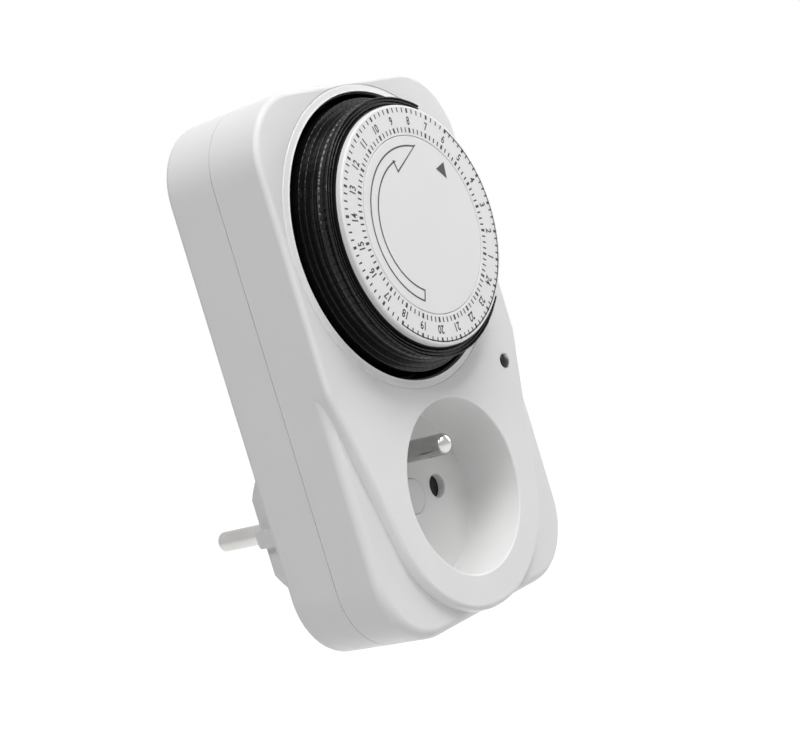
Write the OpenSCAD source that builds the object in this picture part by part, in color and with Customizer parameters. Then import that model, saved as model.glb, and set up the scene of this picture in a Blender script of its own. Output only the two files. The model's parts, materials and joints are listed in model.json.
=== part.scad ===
// Plug-in timer switch with a 24 hour dial, a type E socket and an earthed plug.
// +X is to the right seen from the front, the front faces -Y and +Z is up.
// The origin is the centre of the plug's engagement face, between the two pins.

/* [Housing] */
// Width of the housing
body_w = 71.2; // [71:0.1:95]
// Height of the housing
body_h = 120; // [119:0.5:150]
// Height of the top edge above the dial's centre
top_above_dial = 35; // [34.5:0.1:50]
// Distance between the centres of the socket and the dial
dial_to_socket = 57.2; // [56:0.1:80]
// Depth of the front cover, from the parting line to the front plane
front_depth = 13.9; // [13.6:0.1:18]
// Depth of the rear cover, from the parting line to the back
rear_depth = 13.6; // [13.3:0.1:18]
// Wall thickness of both covers
wall = 2; // [1.6:0.1:2.4]
// Radius of the two upper corners
top_corner_r = 16; // [12:0.5:17]
// Radius of the two lower corners
bottom_corner_r = 16; // [12:0.5:18]
// Rounding of the front edges
front_edge_r = 2.2; // [1:0.1:3]
// Rounding of the back edge
back_edge_r = 1.5; // [0.5:0.1:2]
// Width of the visible line between the covers
parting_gap = 0.25; // [0.1:0.05:0.5]

/* [Front relief] */
// Radius of the raised island round the socket
island_r = 27.6; // [26:0.1:27.7]
// Angle of the island's straight sides from the vertical
island_angle = 14; // [10:0.5:18]
// Height of the island above the two lower wings
wing_drop = 2.2; // [1.2:0.1:3]
// Radial width of the bead round the dial opening
bead_w = 1.8; // [1:0.1:2]
// Height of that bead above the front plane
bead_h = 0.5; // [0.2:0.1:1]

/* [Socket] */
// Inside radius of the socket well
socket_r = 19.7; // [19.7:0.1:20.2]
// Depth of the socket well below the front plane
socket_depth = 15; // [15:0.1:16]
// Wall thickness of the socket well
socket_wall = 1.6; // [1.2:0.1:2]
// Distance between the two contact centres
pin_spacing = 19; // [19:0.1:19.2]
// Radius of the contact holes in the floor
contact_hole_r = 2.75; // [2.6:0.05:2.8]
// Distance of the earth pin from the line of the contacts
earth_offset = 10; // [9.8:0.1:10.2]
// Length of the earth pin above the floor
earth_pin_len = 14; // [13:0.1:14.5]
// Radius of the cap in the middle of the floor
cap_r = 4; // [3:0.05:4.5]

/* [Plug] */
// Length of the plug body, from the back of the housing to its face
plug_len = 20.4; // [20.4:0.1:26]
// Radius of the plug body
plug_r = 18.6; // [18.4:0.1:19]
// Distance between the plug's side flats
plug_flat_w = 32.6; // [32:0.1:33.5]
// Width of the guide rib on each flat
rib_w = 4.3; // [3.6:0.1:4.6]
// Wall thickness of the plug body
plug_wall = 1.8; // [1.5:0.1:2]
// Radius of the round pins
pin_r = 2.4; // [2.4:0.01:2.42]
// Length of the pins beyond the plug's face
pin_len = 19; // [18:0.1:19.5]
// Radius of the hole for the wall socket's earth pin
earth_hole_r = 2.65; // [2.5:0.05:2.8]
// Width of the earth clips
clip_w = 6; // [5:0.1:6.5]

/* [Dial] */
// Radius of the opening for the dial
opening_r = 32.4; // [32.4:0.1:32.6]
// Height of the dial's face above the front plane
dial_proud = 9.7; // [9.7:0.1:12]
// Outer radius of the hour ring
hour_ring_r = 26.7; // [26.3:0.1:27]
// Radius of the fixed centre disc
centre_disc_r = 19.7; // [18:0.1:21]
// Number of tappets, one for each quarter hour
tappet_count = 96; // [96:24:96]
// Travel of a tappet
tappet_travel = 2.5; // [1.5:0.1:2.5]
// Outer radius of the tappets' skirts
tappet_r = 30.7; // [30.2:0.1:30.9]
// Width of the gap between neighbouring tappets
tappet_gap = 0.16; // [0.1:0.02:0.3]
// Angle of hour 24 from +X, with the hours running counter-clockwise
hour_zero = -42.8; // [-60:0.1:0]
// First hour whose tappets stand out (off)
off_from = 7; // [0:1:23]
// Last hour whose tappets stand out
off_to = 23; // [0:1:23]
// Radius of the arbor that carries the dial
arbor_r = 2.5; // [2:0.1:3]

/* [Drive] */
// Module of the gear teeth
gear_m = 0.5; // [0.5:0.05:0.5]
// Teeth of the programme wheel
wheel_teeth = 72; // [72:2:72]
// Teeth of the large gears
gear_teeth = 48; // [44:2:48]
// Teeth of the pinions
pinion_teeth = 12; // [12:1:12]
// Direction from the dial's centre to the third gear
gear3_angle = 200; // [198:1:204]
// Radius of the motor's case
motor_r = 16; // [14:0.5:16]
// Radius of the steel axles
axle_r = 0.8; // [0.6:0.05:1]

/* [Switch] */
// Travel of the override slider
slider_travel = 4; // [3:0.5:4]
// Swing of the switch lever, in degrees
lever_swing = 3.6; // [2:0.1:4]

/* [Clearances] */
// Radial running clearance of shafts
run_gap = 0.05; // [0.02:0.01:0.1]
// Clearance between moving pieces and what they pass
pass_gap = 0.3; // [0.2:0.05:0.4]
// Clearance of pieces that are pushed into a seat
seat_gap = 0.05; // [0.02:0.01:0.1]

/* [Hidden] */
$fn = 96;
eps = 0.02;

// Planes across the depth, from the plug's face towards the front
y_back = -plug_len;
y_part = y_back - rear_depth;
y_front = y_part - front_depth;
y_wing = y_front + wing_drop;
y_dial = y_front - dial_proud;
y_rear_inner = y_back - wall;
y_plate_inner = y_front + wall;
y_floor = y_front + socket_depth;
y_floor_back = y_floor + wall;

// Heights and the dial's centre
z_dial = dial_to_socket;
z_top = z_dial + top_above_dial;
z_bottom = z_top - body_h;
half_w = body_w / 2;
pin_x = pin_spacing / 2;

// Housing screws: places, heads, cores and bosses
screw_x_top = half_w - 7.9;
screw_z_top = z_top - 7.9;
screw_x_low = half_w - 9.9;
screw_z_low = z_bottom + 10.1;
SCREWS = [for (s = [-1, 1]) each [[s * screw_x_top, screw_z_top], [s * screw_x_low, screw_z_low]]];
screw_r = 1.25;
screw_head_r = 2.4;
screw_head_h = 1.6;
boss_r = 3.5;
head_sink = 2;

// Lip of the rear cover inside the front cover
lip_inset = 1.1;
lip_h = 1.4;

// Dial well: liner wall, flange and floor
well_r = min(opening_r - 0.2, top_above_dial - wall);
well_wall = 0.5;
well_edge = 0.15;
flange_r = 33.8;
flange_t = 1.2;
well_floor_t = 1.5;
y_well_back = y_part - 0.8;
y_well_floor = y_well_back - well_floor_t;
y_ledge = y_well_floor - 2.8;

// Hour ring and centre disc
ring_t = 1.5;
disc_t = 1.2;
disc_hub_r = 5;
y_ring_back = y_dial + ring_t;
bevel = 0.5;

// Programme wheel
rim_r_in = 25;
rim_r_out = 27;
y_rim_back = y_well_floor - 3;
web_t = 1.4;
y_web_back = y_rim_back - 1.2;
hub_r = 6;
neck_r = 15;
gear_t = 1.4;
y_wheel_gear = y_well_floor - 1.2;

// Tappets: profile steps measured from the dial's face, with the tappet standing out
tappet_r_in = rim_r_out + pass_gap;
head_y = 1.9;
head_r = 29.1;
waist_y = 4.8;
waist_r = 28.4;
step1_y = 5.9;
step1_r = 29.0;
step2_y = 7.3;
step2_r = 29.85;
skirt_y = 8.3;
tail_y = 16.1;
foot_y = 10.4;
foot_t = 1.6;
foot_w = 0.9;
foot_r_in = 24;
slot_w = 1.3;
slot_play = 0.2;
tappet_step = 360 / tappet_count;
per_hour = tappet_count / 24;

// Gears, places in the XZ plane
wheel_pr = gear_m * wheel_teeth / 2;
gear_pr = gear_m * gear_teeth / 2;
pinion_pr = gear_m * pinion_teeth / 2;
G0 = [0, z_dial];
G3 = G0 + (wheel_pr + pinion_pr) * [cos(gear3_angle), sin(gear3_angle)];
M = [-13.5, z_dial + 13.3];
stage_d = gear_pr + pinion_pr;
G3M = M - G3;
G2 = (G3 + M) / 2 + sqrt(stage_d^2 - G3M * G3M / 4) * [G3M[1], -G3M[0]] / norm(G3M);
y_layer1 = y_well_back + pass_gap;
layer_t = 1.3;
y_layer2 = y_layer1 + layer_t + pass_gap;
y_gplate = y_layer2 + layer_t + pass_gap;
gplate_t = 1;
y_motor = y_gplate + gplate_t;
motor_t = y_rear_inner - y_motor - pass_gap;
motor_wall = 0.8;
POSTS = [[-29.8, z_dial + 3.8], [3, z_dial + 22.8], [-2, z_dial - 21.2]];
post_r = 1.8;

// Micro switch, lever and slider
pointer_angle = 41.5;
nose_r = 29;
nose = G0 + nose_r * [cos(pointer_angle), sin(pointer_angle)];
lever_pivot_z = nose[1] - 18.4;
bump_h = 0.65;
y_lever_pivot = y_well_back + 1.9;
lever_w = 4.4;
lever_pin_r = 0.8;
lever_hub_r = 1.5;
lever_t = 0.8;
y_tappet_in = y_dial + tail_y + tappet_travel;
nose_clear = 0.1;
nose_lift = (nose[1] - lever_pivot_z) * tan(lever_swing);
y_nose = y_tappet_in + nose_clear + nose_lift;
sw_z0 = nose[1] - 12.4;
sw_z1 = nose[1] + 0.4;
sw_half = 2.9;
y_sw = y_lever_pivot + 2.1;
sw_t = 6.5;
button_z = nose[1] - 4.4;
slider_z = z_dial + 6.8;
knob_h = 6;
knob_w = 4;
knob_proud = 1;
slider_y = (y_part + y_back) / 2 - 0.6;
slider_t = 1.2;

// Socket side: shutter, guide, spring, contacts and earth
shutter_t = 1.3;
shutter_travel = 5.8;
shutter_half = 3;
y_shutter = y_floor_back + 0.2;
y_guide = y_shutter + shutter_t + 0.3;
guide_t = 1.1;
spring_r = 1.1;
spring_wire_r = 0.2;
spring_turns = 6;
spring_z0 = -shutter_half - 10;
y_spring = y_shutter + 1.35;
y_strap = y_guide + guide_t + 0.3;
strap_t = 0.8;
y_carrier = y_strap + strap_t + 0.2;
sleeve_r = 3.6;
sleeve_bore = pin_r + 0.05;
y_sleeve_end = -13;
clip_z = plug_r - 1.4;
earth_sleeve_r = 3.3;
plug_face_t = 2.5;
hollow_z = 14;
pin_neck_r = pin_r - 0.2;
y_live_root = -8.5;

// Indicator
LED = [27.9, z_dial - 34.7];
led_r = 1.5;
y_board = max(y_wing + wall + 0.2, y_front + 5.2);

HOURS = [for (h = [0:23]) str("tappets_hour_", h < 10 ? "0" : "", h)];

// Extrudes a drawing of the front view from depth y0 to depth y1
module slab(y0, y1) {
    translate([0, y1, 0]) rotate([90, 0, 0]) linear_extrude(y1 - y0) children();
}

// Round bar along the depth at the place p of the front view
module rod(y0, y1, r, p = [0, 0]) {
    translate([p[0], y1, p[1]]) rotate([90, 0, 0]) cylinder(h = y1 - y0, r = r);
}

// Box between two corners
module block(a, b) {
    translate(a) cube(b - a);
}

// Outline of the housing, drawn in by inset
module body_2d(inset = 0, n = 96) {
    w = half_w - inset;
    top = z_top - inset;
    low = z_bottom + inset;
    rt = top_corner_r - inset;
    rb = bottom_corner_r - inset;
    translate([-w, low + rb]) square([2 * w, top - rt - low - rb]);
    translate([-w + rt, low + rb]) square([2 * (w - rt), top - low - rb]);
    translate([-w + rb, low]) square([2 * (w - rb), top - rt - low]);
    for (s = [-1, 1]) {
        translate([s * (w - rt), top - rt]) circle(rt, $fn = n);
        translate([s * (w - rb), low + rb]) circle(rb, $fn = n);
    }
}

// Outline of the raised island: round the socket, then widening to the sides
module island_2d(inset = 0, n = 96) {
    r = island_r - inset;
    w = half_w + 1;
    x0 = r * cos(island_angle);
    z0 = -r * sin(island_angle);
    z1 = z0 + (w - x0) / tan(island_angle);
    intersection() {
        body_2d(inset, n);
        union() {
            circle(r, $fn = n);
            polygon([[-x0, z0], [x0, z0], [w, z1], [w, z_top], [-w, z_top], [-w, z1]]);
        }
    }
}

// Angles of the slices that make a rounded edge
ROUND = [0:18:90];

// Outer form of the front cover, with its rounded front edges: the wings and, on them, the island
module front_form() {
    e = front_edge_r;
    difference() {
        union() {
            hull() for (a = ROUND)
                slab(y_wing + e * (1 - sin(a)), y_part + 1) body_2d(0.03 + e * (1 - cos(a)), 64);
            hull() for (a = ROUND)
                slab(y_front + e * (1 - sin(a)), y_part + 1.5) island_2d(e * (1 - cos(a)), 64);
        }
        slab(y_part - parting_gap, y_part + 3) square(3 * body_h, center = true);
    }
}

module front_cover() color([0.93, 0.93, 0.92]) {
    difference() {
        union() {
            difference() {
                front_form();
                slab(y_wing + wall, y_part + 1) body_2d(wall);
                slab(y_plate_inner, y_wing + wall + eps) island_2d(wall);
                slab(y_part - parting_gap - lip_h, y_part + 1) body_2d(lip_inset - 0.1);
            }
            rod(y_front + 1, y_floor_back, socket_r + socket_wall);
            rod(y_front - bead_h, y_front + 1, opening_r + bead_w, G0);
            for (p = SCREWS) rod((p[1] > 0 ? y_front : y_wing) + 1, y_part - parting_gap, boss_r, p);
            for (s = [-1, 1]) rod(y_front + 1, y_front + 5.2, 1, LED + [0, 3.4 * s]);
        }
        rod(y_front - 2, y_floor, socket_r);
        rod(y_front - 2, y_plate_inner + 4, opening_r, G0);
        for (s = [-1, 1]) rod(y_floor - 1, y_floor_back + 1, contact_hole_r, [s * pin_x, 0]);
        rod(y_floor - 1, y_floor_back + 1, pin_neck_r + seat_gap, [0, earth_offset]);
        rod(y_floor - 1, y_floor + 1.2, cap_r + 0.1);
        rod(y_front - 2, y_front + 6, led_r + 0.1, LED);
        for (p = SCREWS) rod(y_wing + wall, y_part + 1, screw_r + seat_gap, p);
    }
}

// Plug body: a round bar with side flats, a guide rib on each and a bevelled face
module plug_body() {
    c = 0.8;
    intersection() {
        rotate([90, 0, 0]) rotate_extrude()
            polygon([[0, 0], [plug_r - c, 0], [plug_r, c], [plug_r, plug_len + 1], [0, plug_len + 1]]);
        slab(y_back - 2, 1) union() {
            square([plug_flat_w, 4 * plug_r], center = true);
            square([4 * plug_r, rib_w], center = true);
        }
    }
}

module rear_cover() color([0.93, 0.93, 0.92]) {
    e = back_edge_r;
    difference() {
        union() {
            difference() {
                union() {
                    hull() for (a = ROUND)
                        slab(y_part, y_back - e * (1 - sin(a))) body_2d(e * (1 - cos(a)), 64);
                    slab(y_part - lip_h, y_part + 1) body_2d(lip_inset);
                }
                slab(y_part - lip_h - 1, y_rear_inner) body_2d(wall);
                // Notches of the lip, round the front cover's screw posts
                for (p = SCREWS) rod(y_part - lip_h - 1, y_part, boss_r + pass_gap, p);
            }
            plug_body();
            for (p = SCREWS) rod(y_part, y_back - 1, boss_r, p);
            slider_channel();
        }
        // Hollow of the plug, with its wall all round
        slab(y_rear_inner - 1, -plug_face_t) intersection() {
            circle(plug_r - plug_wall);
            square([plug_flat_w - 2 * plug_wall, 2 * hollow_z], center = true);
        }
        for (s = [-1, 1]) {
            rod(-plug_face_t - 1, 1, pin_r + seat_gap, [s * pin_x, 0]);
            // Slots of the earth clips, open at the face
            block([-clip_w / 2 - 0.3, -15, s > 0 ? clip_z - 1.6 : -plug_r - 1],
                  [clip_w / 2 + 0.3, 1, s > 0 ? plug_r + 1 : -clip_z + 1.6]);
            block([-clip_w / 2 - 0.3, y_rear_inner - 1, s * clip_z - 0.7],
                  [clip_w / 2 + 0.3, -14, s * clip_z + 0.7]);
        }
        rod(-plug_face_t - 1, 1, earth_hole_r, [0, earth_offset]);
        for (p = SCREWS) {
            rod(y_part - 1, y_back + 1, screw_r + 0.35, p);
            rod(y_back - head_sink, y_back + 1, screw_head_r + 0.2, p);
        }
        // Slot for the knob of the override slider
        block([half_w - wall - 1, slider_y - knob_w / 2 - 0.2, slider_z - knob_h / 2 - slider_travel - 0.2],
              [half_w + 1, slider_y + knob_w / 2 + 0.2, slider_z + knob_h / 2 + 0.2]);
    }
}

// Channel that holds the override slider against the side wall: a rail and two hooks
module slider_channel() {
    x1 = half_w - wall;
    x_in = x1 - 2 * pass_gap - slider_t;
    z0 = slider_z - 14;
    block([x_in - 1.6, slider_y + 3.8, z0], [x1 + 0.5, y_rear_inner + 0.1, z0 + 23]);
    for (z = [z0, z0 + 20]) block([x_in - 1.6, slider_y + 1.6, z], [x_in, slider_y + 4, z + 3]);
}

module dial_well() color([0.08, 0.08, 0.085]) {
    difference() {
        union() {
            rod(y_front + 0.3, y_well_back, well_r, G0);
            intersection() {
                rod(y_plate_inner, y_plate_inner + flange_t, flange_r, G0);
                slab(y_plate_inner - 1, y_plate_inner + 3) body_2d(wall + 0.1);
            }
            for (p = POSTS) rod(y_well_back - 0.5, y_gplate, post_r, p);
            // Ears of the switch lever
            for (s = [-1, 1]) translate([nose[0] + s * (lever_w / 2 + 1), 0, lever_pivot_z])
                block([-0.7, y_well_back - 0.5, -1.7], [0.7, y_lever_pivot + 1.5, 1.7]);
            // Pads that carry the micro switch
            for (s = [-1, 1], z = [button_z - 2.2, sw_z1 - 1.2])
                translate([nose[0] + s * (sw_half - 0.4), 0, z])
                    block([-0.4, y_well_back - 0.5, -1], [0.4, y_sw, 1]);
        }
        rod(y_front - 1, y_ledge, well_r - well_wall, G0);
        rod(y_ledge - 1, y_well_floor, tappet_r + pass_gap, G0);
        // Front edge, thinned to hide behind the bead
        translate([0, 0, z_dial]) rotate([90, 0, 0]) rotate_extrude()
            polygon([[0, -y_front - 1.8], [well_r - well_wall, -y_front - 1.8],
                [well_r - well_edge, -y_front - 0.3], [well_r - well_edge, 1 - y_front], [0, 1 - y_front]]);
        rod(y_well_floor - 1, y_well_back + 1, 2 + seat_gap, G0);
        rod(y_well_floor - 1, y_well_back + 1, pinion_pr + 0.8, G3);
        block([nose[0] - lever_w / 2 + 0.6, y_well_floor - 1, nose[1] - 1.6],
              [nose[0] + lever_w / 2 - 0.6, y_well_back + 1, nose[1] + 1.6]);
        rod_x(nose[0] - lever_w, nose[0] + lever_w, lever_pin_r + seat_gap, y_lever_pivot, lever_pivot_z);
        for (p = POSTS) rod(y_well_back + 0.2, y_gplate + 1, 0.75, p);
    }
}

// Round bar along X
module rod_x(x0, x1, r, y, z) {
    translate([x0, y, z]) rotate([0, 90, 0]) cylinder(h = x1 - x0, r = r);
}

module hour_ring() color([0.9, 0.9, 0.89]) translate([0, 0, z_dial]) rotate([90, 0, 0])
    rotate_extrude() polygon([[centre_disc_r + 0.2, -y_ring_back], [centre_disc_r + 0.2, -y_dial],
        [hour_ring_r - bevel, -y_dial], [hour_ring_r, -y_dial - bevel], [hour_ring_r, -y_ring_back]]);

module programme_wheel() color([0.1, 0.1, 0.11]) {
    y_slot0 = y_dial + foot_y - slot_play;
    y_slot1 = y_dial + foot_y + foot_t + tappet_travel + slot_play;
    ring_2d = [rim_r_in, rim_r_out];
    translate([0, 0, z_dial]) {
        // Rim with one slot for each tappet's foot
        slab(y_ring_back, y_slot0) annulus(ring_2d);
        slab(y_slot0 - eps, y_slot1 + eps) difference() {
            annulus(ring_2d);
            for (i = [0:tappet_count - 1]) rotate(tappet_angle(i))
                translate([rim_r_in - 1, -slot_w / 2]) square([rim_r_out - rim_r_in + 2, slot_w]);
        }
        slab(y_slot1, y_rim_back) annulus(ring_2d);
        slab(y_web_back - web_t, y_web_back) annulus([arbor_r + run_gap, rim_r_in + 0.3]);
        slab(y_web_back - eps, y_wheel_gear - gear_t) annulus([arbor_r + run_gap, neck_r]);
        slab(y_web_back - 9, y_wheel_gear) annulus([arbor_r + run_gap, hub_r]);
        slab(y_wheel_gear - gear_t - eps, y_wheel_gear) difference() {
            gear_2d(wheel_teeth, gear3_angle);
            circle(arbor_r + run_gap);
        }
    }
}

module annulus(rr) {
    difference() {
        circle(rr[1]);
        circle(rr[0]);
    }
}

// Centre angle of tappet i, counted from hour 24
function tappet_angle(i) = hour_zero + tappet_step * (i + 0.5);

// Depth profile of a tappet, as radius and distance behind the dial's face
TAPPET = [[tappet_r_in, head_y], [head_r - 1.35, head_y], [head_r - 1.25, head_y + 0.25],
    [head_r - 0.75, head_y + 0.05], [head_r - 0.65, head_y + 0.3], [head_r - 0.1, head_y + 0.1],
    [head_r, head_y + 0.3], [waist_r, waist_y - 0.8], [waist_r, waist_y], [waist_r + 0.2, waist_y + 0.15],
    [waist_r + 0.2, step1_y], [step1_r, step1_y + 0.1], [step1_r, step2_y], [step2_r, step2_y + 0.1],
    [step2_r, skirt_y], [tappet_r, skirt_y + 0.15], [tappet_r, tail_y], [tappet_r_in, tail_y]];

// One tappet, standing out: a wedge of flat faces with a foot through the rim
module tappet() {
    half_in = tappet_r_in * tan(tappet_step / 2) - tappet_gap / 2;
    half_out = (tappet_r + 1) * tan(tappet_step / 2) - tappet_gap / 2;
    intersection() {
        translate([0, y_dial, -half_out]) linear_extrude(2 * half_out) polygon(TAPPET);
        slab(y_dial, y_dial + tail_y + 1) polygon([[tappet_r_in - 0.1, -half_in], [tappet_r + 1, -half_out],
            [tappet_r + 1, half_out], [tappet_r_in - 0.1, half_in]]);
    }
    translate([0, y_dial + foot_y, -foot_w / 2])
        block([foot_r_in, 0, 0], [tappet_r_in + 0.2, foot_t, foot_w]);
}

// The tappets of hour h, pushed in unless the hour is off
module tappets_of(h) color([0.07, 0.07, 0.075]) {
    off = h >= off_from && h <= off_to;
    translate([0, off ? 0 : tappet_travel, z_dial])
        for (i = [h * per_hour:(h + 1) * per_hour - 1]) rotate([0, -tappet_angle(i), 0]) tappet();
}

module centre_disc() color([0.93, 0.93, 0.92]) {
    difference() {
        union() {
            rod(y_dial, y_dial + disc_t, centre_disc_r, G0);
            rod(y_dial + disc_t - eps, y_dial + 5.5, disc_hub_r, G0);
        }
        rod(y_dial + disc_t, y_dial + 6, arbor_r + seat_gap, G0);
    }
}

module dial_arbor() color([0.75, 0.75, 0.77]) {
    rod(y_dial + disc_t, y_well_floor, arbor_r, G0);
    rod(y_well_floor - eps, y_well_back, 2, G0);
}

// Gear outline with involute flanks and a tooth on the direction dir
module gear_2d(n, dir) {
    rp = gear_m * n / 2;
    rb = rp * cos(20);
    ra = rp + 0.8 * gear_m;
    rf = rp - 1.15 * gear_m;
    r1 = max(rb, rf + 0.01);
    radii = [r1, rp, ra];
    function inv(a) = tan(a) * 180 / PI - a;
    function flank(r) = 90 / n - 2.2 / rp + inv(20) - inv(acos(min(1, rb / r)));
    polygon([for (i = [0:n - 1]) let (c = dir + i * 360 / n) each concat(
        [rf * [cos(c - flank(r1)), sin(c - flank(r1))]],
        [for (r = radii) r * [cos(c - flank(r)), sin(c - flank(r))]],
        [for (k = [2:-1:0]) radii[k] * [cos(c + flank(radii[k])), sin(c + flank(radii[k]))]],
        [rf * [cos(c + flank(r1)), sin(c + flank(r1))]])]);
}

// Direction from place a to place b
function toward(a, b) = atan2(b[1] - a[1], b[0] - a[0]);

// Half a tooth pitch: turns a gear so that it shows a gap instead of a tooth
function half_pitch(n) = 180 / n;

module gear_slab(y0, y1, p, n, dir) {
    translate([p[0], 0, p[1]]) slab(y0, y1) difference() {
        gear_2d(n, dir);
        circle(axle_r + run_gap);
    }
}

module ring_rod(y0, y1, r, p, bore) {
    translate([p[0], 0, p[1]]) slab(y0, y1) annulus([bore, r]);
}

module drive_gear_3() color([0.86, 0.82, 0.7]) {
    meshing = gear3_angle + 180 + half_pitch(pinion_teeth);
    gear_slab(y_wheel_gear - gear_t - 0.1, y_wheel_gear + 0.1, G3, pinion_teeth, meshing);
    ring_rod(y_wheel_gear + 0.1 - eps, y_layer1 + eps, 1.9, G3, axle_r + run_gap);
    gear_slab(y_layer1, y_layer1 + layer_t, G3, gear_teeth, toward(G3, G2));
}

module drive_gear_2() color([0.86, 0.82, 0.7]) {
    meshing = toward(G2, G3) + half_pitch(pinion_teeth);
    gear_slab(y_layer1, y_layer1 + layer_t + pass_gap + eps, G2, pinion_teeth, meshing);
    gear_slab(y_layer2, y_layer2 + layer_t, G2, gear_teeth, toward(G2, M));
}

module motor_pinion() color([0.8, 0.66, 0.32]) {
    meshing = toward(M, G2) + half_pitch(pinion_teeth);
    translate([M[0], 0, M[1]]) slab(y_layer2, y_layer2 + layer_t) gear_2d(pinion_teeth, meshing);
    rod(y_layer2 + layer_t - eps, y_motor + 3, 1, M);
}

module gear_axles() color([0.75, 0.75, 0.77]) {
    rod(y_wheel_gear - gear_t - 0.4, y_motor, axle_r, G3);
    rod(y_layer1 - 0.1, y_motor, axle_r, G2);
}

module gear_plate() color([0.72, 0.73, 0.75]) {
    dz = z_dial;
    difference() {
        slab(y_gplate, y_motor) polygon([[-32.2, dz - 12.2], [-32.2, dz + 16.8], [-22, dz + 26.8],
            [-6, dz + 30.8], [6, dz + 26.8], [9, dz + 4.8], [3, dz - 24.2], [-10, dz - 25.2]]);
        for (p = [G2, G3]) rod(y_gplate - 1, y_motor + 1, axle_r + seat_gap, p);
        rod(y_gplate - 1, y_motor + 1, 1.3, M);
        for (p = POSTS) rod(y_gplate - 1, y_motor + 1, 0.9, p);
    }
}

module motor_case() color([0.7, 0.71, 0.73]) {
    difference() {
        rod(y_motor, y_motor + motor_t, motor_r, M);
        rod(y_motor + motor_wall, y_motor + motor_t - motor_wall, motor_r - motor_wall, M);
        rod(y_motor - 1, y_motor + 2, 1.3, M);
    }
}

module motor_coil() color([0.62, 0.33, 0.16])
    ring_rod(y_motor + motor_wall, y_motor + motor_t - motor_wall, motor_r - motor_wall - 2.5, M, 8);

module motor_rotor() color([0.25, 0.25, 0.27]) {
    rod(y_motor + 3.3, y_motor + motor_t - motor_wall - 0.2, 6.5, M);
    rod(y_motor + motor_t - motor_wall - 0.2 - eps, y_motor + motor_t - motor_wall, 0.8, M);
}

module switch_body() color([0.1, 0.1, 0.11]) difference() {
    block([nose[0] - sw_half, y_sw, sw_z0], [nose[0] + sw_half, y_sw + sw_t, sw_z1]);
    block([nose[0] - 1, y_sw - 1, button_z - 1.1], [nose[0] + 1, y_sw + 1.6, button_z + 1.1]);
}

module switch_button() color([0.75, 0.2, 0.15]) {
    rise = (button_z - lever_pivot_z) * tan(lever_swing);
    block([nose[0] - 0.8, y_lever_pivot + lever_t + 0.1, button_z - 0.9],
          [nose[0] + 0.8, y_sw + rise + 0.7, button_z + 0.9]);
}

module switch_lever() color([0.85, 0.85, 0.83]) {
    x0 = nose[0] - lever_w / 2 + 0.4;
    x1 = nose[0] + lever_w / 2 - 0.4;
    difference() {
        union() {
            rod_x(x0, x1, lever_hub_r, y_lever_pivot, lever_pivot_z);
            block([x0, y_lever_pivot, lever_pivot_z], [x1, y_lever_pivot + lever_t, nose[1] + 1]);
            block([x0 + 0.8, y_nose, nose[1] - 0.9], [x1 - 0.8, y_lever_pivot + eps, nose[1] + 0.9]);
            block([x0, y_lever_pivot - bump_h, slider_z + 1.5], [x1, y_lever_pivot + eps, slider_z + 3]);
        }
        rod_x(x0 - 1, x1 + 1, lever_pin_r + run_gap, y_lever_pivot, lever_pivot_z);
    }
}

module lever_pin() color([0.75, 0.75, 0.77]) translate([nose[0], 0, 0])
    rod_x(-lever_w / 2 - 1.7, lever_w / 2 + 1.7, lever_pin_r, y_lever_pivot, lever_pivot_z);

module override_slider() color([0.12, 0.12, 0.13]) {
    x1 = half_w - wall - pass_gap;
    y_arm = y_well_back + 0.2;
    difference() {
        union() {
            block([x1 - slider_t, slider_y - 3.6, slider_z - 7], [x1, slider_y + 3.6, slider_z + 7]);
            block([x1 - slider_t, y_arm, slider_z], [x1, slider_y, slider_z + 3]);
            block([nose[0] - 1, y_arm, slider_z], [x1, y_arm + 0.8, slider_z + 3]);
            block([x1 - 0.1, slider_y - knob_w / 2, slider_z - knob_h / 2],
                  [half_w + knob_proud, slider_y + knob_w / 2, slider_z + knob_h / 2]);
        }
        // Grip grooves across the knob
        for (k = [-2:2]) block([half_w + knob_proud - 0.4, slider_y - knob_w, slider_z + k * 1.1 - 0.25],
            [half_w + 2, slider_y + knob_w, slider_z + k * 1.1 + 0.25]);
    }
}

module shutter() color([0.9, 0.88, 0.82]) {
    block([-pin_x - 4.2, y_shutter, -shutter_half], [pin_x + 4.2, y_shutter + shutter_t, shutter_half]);
    block([-1.8, y_shutter, -shutter_half], [1.8, y_guide + guide_t - 0.1, 0.5]);
}

module shutter_guide() color([0.85, 0.84, 0.8]) {
    x1 = pin_x + 4.2 + pass_gap;
    difference() {
        union() {
            block([-x1 - 2.4, y_guide, spring_z0 - 1.6], [x1 + 2.4, y_guide + guide_t, 5.6]);
            for (x = [x1, -x1 - 2.4]) block([x, y_floor_back, -11], [x + 2.4, y_guide + eps, 5.6]);
            block([-4, y_shutter, spring_z0 - 1.6], [4, y_guide + eps, spring_z0 - 0.1]);
        }
        for (s = [-1, 1]) rod(y_guide - 1, y_guide + 3, pin_r + 0.5, [s * pin_x, 0]);
        block([-2.2, y_guide - 1, spring_z0 - 0.1], [2.2, y_guide + 3, 0.9]);
    }
}

// Points of the return spring's centre line: a helix along Z
spring_len = -shutter_half - spring_z0 - 0.2;
function spring_point(t) = [spring_r * cos(360 * t), y_spring + spring_r * sin(360 * t),
    spring_z0 + 0.1 + spring_wire_r + (spring_len - 2 * spring_wire_r) * t / spring_turns];
spring_rings = 8 * spring_turns;
SPRING = [for (k = [0:spring_rings]) spring_point(k / 8)];

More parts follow.
